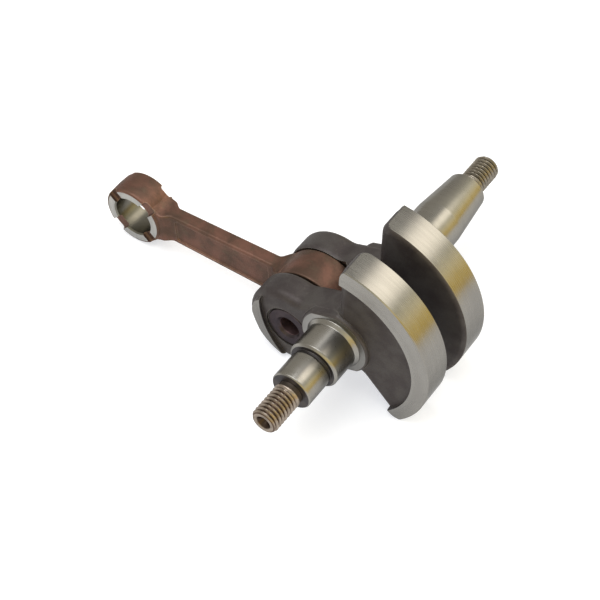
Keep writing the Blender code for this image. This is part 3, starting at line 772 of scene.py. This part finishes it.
def panel_recess(side, length, surface):
    """The shallow sunk panel on one flank of the shank, with rounded corners and sloping sides."""
    along_from = BIG_END_STEP + SHOULDER_LENGTH + PANEL_MARGIN
    along_to = length - SMALL_END_RADIUS - SHOULDER_LENGTH - PANEL_MARGIN
    high_from = shank_half_height(along_from, length) - PANEL_MARGIN
    high_to = shank_half_height(along_to, length) - PANEL_MARGIN

    def outline(grow):
        r = PANEL_CORNER
        corners = [(-along_from - r, high_from - r, 0.0), (-along_to + r, high_to - r, 0.5 * math.pi),
                   (-along_to + r, r - high_to, math.pi), (-along_from - r, r - high_from, 1.5 * math.pi)]
        points = []
        for x, z, start in corners:
            points += arc((x, z), r + grow, start, start + 0.5 * math.pi, 4 * OUTLINE_STEP)
        return points

    levels = [(SHANK_HALF_THICKNESS - PANEL_DEPTH, -0.35 * MM),
              (SHANK_HALF_THICKNESS - 0.6 * PANEL_DEPTH, -0.12 * MM),
              (SHANK_HALF_THICKNESS + 0.6 * MM, 0.35 * MM)]
    vertices, faces = [], []
    loops = [[(x, side * y, z) for x, z in outline(grow)] for y, grow in levels]
    count = len(loops[0])
    for loop in loops:
        vertices += loop
    for level in range(len(loops) - 1):
        for k in range(count):
            j = (k + 1) % count
            a, b = level * count, (level + 1) * count
            faces.append((a + k, a + j, b + j, b + k))
    faces += [list(range(count)), list(range((len(loops) - 1) * count, len(loops) * count))]
    return mesh_object("panel", vertices, faces, surface)


def oil_slot(side, turn, length, surface):
    """One radial slot in a face of the small end, round-bottomed."""
    half_width, floor = 0.5 * OIL_SLOT_WIDTH, 0.5 * SMALL_END_WIDTH - OIL_SLOT_DEPTH
    top = 0.5 * SMALL_END_WIDTH + 1 * MM
    corner = SLOT_FLOOR_CORNER
    section = [(-half_width, top), (-half_width, floor + corner), (-half_width + corner, floor),
               (half_width - corner, floor), (half_width, floor + corner), (half_width, top)]
    section = soften(section, 0.4 * MM, 4)
    inner, outer = SMALL_END_BORE_RADIUS - 2 * MM, SMALL_END_RADIUS + 2 * MM
    spin = Matrix.Translation((-length, 0, 0)) @ Matrix.Rotation(-turn, 4, "Y")
    vertices = [spin @ Vector((x, side * y, z)) for x in (inner, outer) for z, y in section]
    count = len(section)
    faces = [list(range(count)), list(range(count, 2 * count))]
    faces += [(k, (k + 1) % count, count + (k + 1) % count, count + k) for k in range(count)]
    return mesh_object("slot", vertices, faces, surface)


def connecting_rod(length, skin, face_cut, bore_cut):
    """The rod: both eyes and the shank joined, then bored, sunk and slotted."""

    def machined_faces(first, second):
        return 1 if first[1] == second[1] else 0

    small_centre = (-length, 0)
    big_eye = eye_profile(BIG_END_RADIUS, BIG_END_WIDTH, BIG_RIM_ROUNDING)
    rod = turned("connecting_rod_forging", big_eye, skin)
    small_eye = turned("small_eye", eye_profile(SMALL_END_RADIUS, SMALL_END_WIDTH, SMALL_RIM_ROUNDING),
                       [skin, face_cut], centre=small_centre, slots=machined_faces)
    joined = [shank(length, skin), small_eye]
    for each in joined:
        boolean(rod, "UNION", each)
    small_bore = bore_profile(SMALL_END_BORE_RADIUS, SMALL_END_WIDTH)
    cutters = [turned("big_bore", bore_profile(BIG_END_BORE_RADIUS, BIG_END_WIDTH), bore_cut),
               turned("small_bore", small_bore, bore_cut, centre=small_centre)]
    cutters += [panel_recess(side, length, skin) for side in (-1, 1)]
    for side in (-1, 1):
        for quarter in range(4):
            cutters.append(oil_slot(side, SLOT_TURN + math.radians(90 * quarter), length, skin))
    for cutter in cutters:
        boolean(rod, "DIFFERENCE", cutter)
    bake_shape(rod, joined + cutters)
    smooth(rod, 30, weighted=True)
    return rod


# ---------------------------------------------------------------- scene

def place(piece, centre, turn, body, slot, *nodes):
    """Puts a piece's frame where the CAD has it, ties it to its body and hides its nodes. The slot argument
    is not used.
    """
    piece.location = centre
    piece.data.transform(Matrix.Rotation(turn, 4, "Y"))
    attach(piece, body)
    for node in nodes:
        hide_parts(node)


def area_light(name, location, target, size, power):
    light = bpy.data.lights.new(name, "AREA")
    light.shape = "RECTANGLE"
    light.size, light.size_y = size
    light.energy = power
    obj = bpy.data.objects.new(name, light)
    bpy.context.scene.collection.objects.link(obj)
    obj.location = location
    obj.rotation_euler = (Vector(target) - Vector(location)).to_track_quat("-Z", "Y").to_euler()


def studio_world():
    """A light tent: warm towards the horizon, dimmer to the left, with a bright panel high behind on the
    right. The camera itself sees a plain white backdrop.
    """
    world = bpy.data.worlds.new("light_tent")
    bpy.context.scene.world = world
    world.use_nodes = True
    tree = world.node_tree
    nodes, links = tree.nodes, tree.links

    def map_range(value, limits):
        node = nodes.new("ShaderNodeMapRange")
        node.interpolation_type = "SMOOTHSTEP"
        links.new(value, node.inputs["Value"])
        for socket, number in zip(node.inputs[1:5], limits):
            socket.default_value = number
        return node.outputs["Result"]

    def scaled(colour, share):
        node = nodes.new("ShaderNodeVectorMath")
        node.operation = "SCALE"
        if isinstance(colour, tuple):
            node.inputs[0].default_value = colour
        else:
            links.new(colour, node.inputs[0])
        links.new(share, node.inputs["Scale"])
        return node.outputs[0]

    def added(first, second):
        node = nodes.new("ShaderNodeVectorMath")
        node.operation = "ADD"
        links.new(first, node.inputs[0])
        links.new(second, node.inputs[1])
        return node.outputs[0]

    direction = nodes.new("ShaderNodeTexCoord").outputs["Generated"]
    split = nodes.new("ShaderNodeSeparateXYZ")
    links.new(direction, split.inputs[0])
    ramp = nodes.new("ShaderNodeValToRGB")
    links.new(split.outputs["Z"], ramp.inputs["Fac"])
    while len(ramp.color_ramp.elements) < len(SKY_STOPS):
        ramp.color_ramp.elements.new(0.5)
    for element, (position, colour) in zip(ramp.color_ramp.elements, SKY_STOPS):
        element.position = position
        element.color = (*colour, 1)
    right = map_range(split.outputs["X"], (*LEFT_SKY_EDGE, 0.0, 1.0))
    left = map_range(split.outputs["X"], (*LEFT_SKY_EDGE, 1.0, 0.0))
    sky = added(scaled(ramp.outputs["Color"], right), scaled(LEFT_SKY, left))
    towards = nodes.new("ShaderNodeVectorMath")
    towards.operation = "DOT_PRODUCT"
    links.new(direction, towards.inputs[0])
    towards.inputs[1].default_value = Vector(PANEL_DIRECTION).normalized()
    panel = scaled(PANEL_COLOUR, map_range(towards.outputs["Value"], (*PANEL_EDGE, 0.0, 1.0)))
    seen = nodes.new("ShaderNodeMix")
    seen.data_type = "RGBA"
    colours = [socket for socket in seen.inputs if socket.type == "RGBA"]
    links.new(nodes.new("ShaderNodeLightPath").outputs["Is Camera Ray"], seen.inputs["Factor"])
    links.new(added(sky, panel), colours[0])
    colours[1].default_value = (*BACKDROP, 1)
    background = nodes["Background"]
    links.new(next(socket for socket in seen.outputs if socket.type == "RGBA"), background.inputs["Color"])
    background.inputs["Strength"].default_value = TENT_STRENGTH


def camera(axis):
    """A view from the front, from the right and from well above."""
    data = bpy.data.cameras.new("camera")
    data.lens = CAMERA_LENS
    data.sensor_width = CAMERA_SENSOR
    data.clip_start = CAMERA_NEAR
    obj = bpy.data.objects.new("camera", data)
    bpy.context.scene.collection.objects.link(obj)
    obj.location = axis + CAMERA_OFFSET
    obj.rotation_euler = (math.radians(90) - CAMERA_DOWN, 0, CAMERA_RIGHT)
    bpy.context.scene.camera = obj


def main():
    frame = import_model()

    # Where the axes lie, worked out from the CAD frame.
    swing = next(joint for joint in frame["joints"] if joint["name"] == "rod_swing")
    pin_centre = Vector(swing["pos_m"])
    main_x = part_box("crank_half_front")[1][0] - WEB_RADIUS
    main_z = pin_centre.z + math.sqrt(THROW**2 - (main_x - pin_centre.x) ** 2)
    pin_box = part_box("crankpin")
    main_y = 0.5 * (pin_box[0][1] + pin_box[1][1])
    axis = Vector((main_x, main_y, main_z))
    crank_turn = -math.atan2(main_z - pin_centre.z, main_x - pin_centre.x)
    rod_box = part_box("connecting_rod")
    rod_y = 0.5 * (rod_box[0][1] + rod_box[1][1])
    small_end = Vector((rod_box[0][0] + SMALL_END_RADIUS, rod_y, rod_box[0][2] + SMALL_END_RADIUS))
    rod_centre = Vector((pin_centre.x, rod_y, pin_centre.z))
    rod_length = (small_end - rod_centre).length
    rod_turn = -math.atan2(rod_centre.z - small_end.z, rod_centre.x - small_end.x)

    skin = forged_steel()
    boss_cut = turned_steel("boss_face", (0.27, 0.265, 0.255), (0.22, 0.215, 0.205), (0.3, 0.4))
    rim_cut = turned_steel("turned_rim", (0.25, 0.243, 0.23), (0.225, 0.218, 0.206), (0.22, 0.30),
                           5200.0, 0.003 * MM)
    journal = turned_steel("ground_journal", (0.26, 0.252, 0.235), (0.24, 0.232, 0.216), (0.27, 0.32),
                           7000.0, 0.0004 * MM)
    front_thread = threaded_steel("brown_thread", (0.31, 0.262, 0.222), (0.095, 0.066, 0.050))
    rear_thread = threaded_steel("olive_thread", (0.26, 0.236, 0.20), (0.080, 0.068, 0.052))
    step = tinted_steel("blued_step", (0.060, 0.058, 0.063), (0.085, 0.078, 0.076))
    pin_steel = tinted_steel("blued_pin", (0.044, 0.036, 0.041), (0.060, 0.048, 0.052))
    pin_bore = tinted_steel("blued_pin_bore", (0.10, 0.065, 0.072), (0.13, 0.085, 0.088), (0.5, 0.6))
    copper = copper_washed()
    eye_cut = turned_steel("rod_face", (0.39, 0.386, 0.368), (0.31, 0.306, 0.292), (0.25, 0.4))
    bore_cut = turned_steel("honed_bore", (0.165, 0.159, 0.137), (0.145, 0.139, 0.119), (0.30, 0.36),
                            5200.0, 0.001 * MM)
    cage_steel = turned_steel("cage_strip", (0.42, 0.40, 0.37), (0.33, 0.31, 0.29), (0.3, 0.42))
    roller_steel = turned_steel("polished_roller", (0.66, 0.66, 0.66), (0.58, 0.58, 0.58), (0.08, 0.16),
                                9000.0, 0.002 * MM)

    slot = "forged_and_turned_steel"
    front, rear = front_shaft_profile(), rear_shaft_profile()
    ends = (("front", -1, front, FRONT_SEAL_END, FRONT_THREAD_START, FRONT_TIP, front_thread),
            ("rear", 1, rear, TAPER_END, REAR_THREAD_START, REAR_TIP, rear_thread))
    for end, side, profile, neck_start, thread_start, tip, thread in ends:
        node = f"crank_half_{end}"
        made = web(f"{end}_web", side, skin, rim_cut, boss_cut)
        place(made, axis, crank_turn, "crank", slot, node)
        made = shaft(f"{end}_shaft", side, profile, neck_start, thread_start, tip, [journal, thread, step])
        place(made, axis, crank_turn, "crank", slot, node)

    pin_place = Vector((pin_centre.x, main_y, pin_centre.z))
    place(crankpin([pin_steel, pin_bore]), pin_place, crank_turn, "crank", "blued_pin_steel", "crankpin")
    rod = connecting_rod(rod_length, copper, eye_cut, bore_cut)
    place(rod, rod_centre, rod_turn, "rod", "copper_washed_rod_steel", "connecting_rod")

    for material_slot in frame["nodes"]["big_end_cage"].material_slots:
        material_slot.material = cage_steel
    for i in range(1, ROLLER_COUNT + 1):
        node = f"needle_roller_{i:02d}"
        low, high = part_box(node)
        centre = [0.5 * (a + b) for a, b in zip(low, high)]
        place(roller(f"roller_{i:02d}", roller_steel), centre, 0.0, f"roller_{i:02d}", "roller_steel", node)

    side = FLOOR_HALF_SIDE
    corners = [(-side, -side), (side, -side), (side, side), (-side, side)]
    floor = plate("floor", corners, 0, -FLOOR_THICKNESS, floor_sheet())
    floor.rotation_euler = (math.radians(90), 0, 0)

    studio_world()
    area_light("overhead_softbox", (-0.15, -0.15, 0.8), (0, 0, 0.02), (0.7, 0.7), 5.5)
    camera(axis)
    bpy.context.scene.view_settings.view_transform = "Standard"

    bpy.context.view_layer.update()


main()
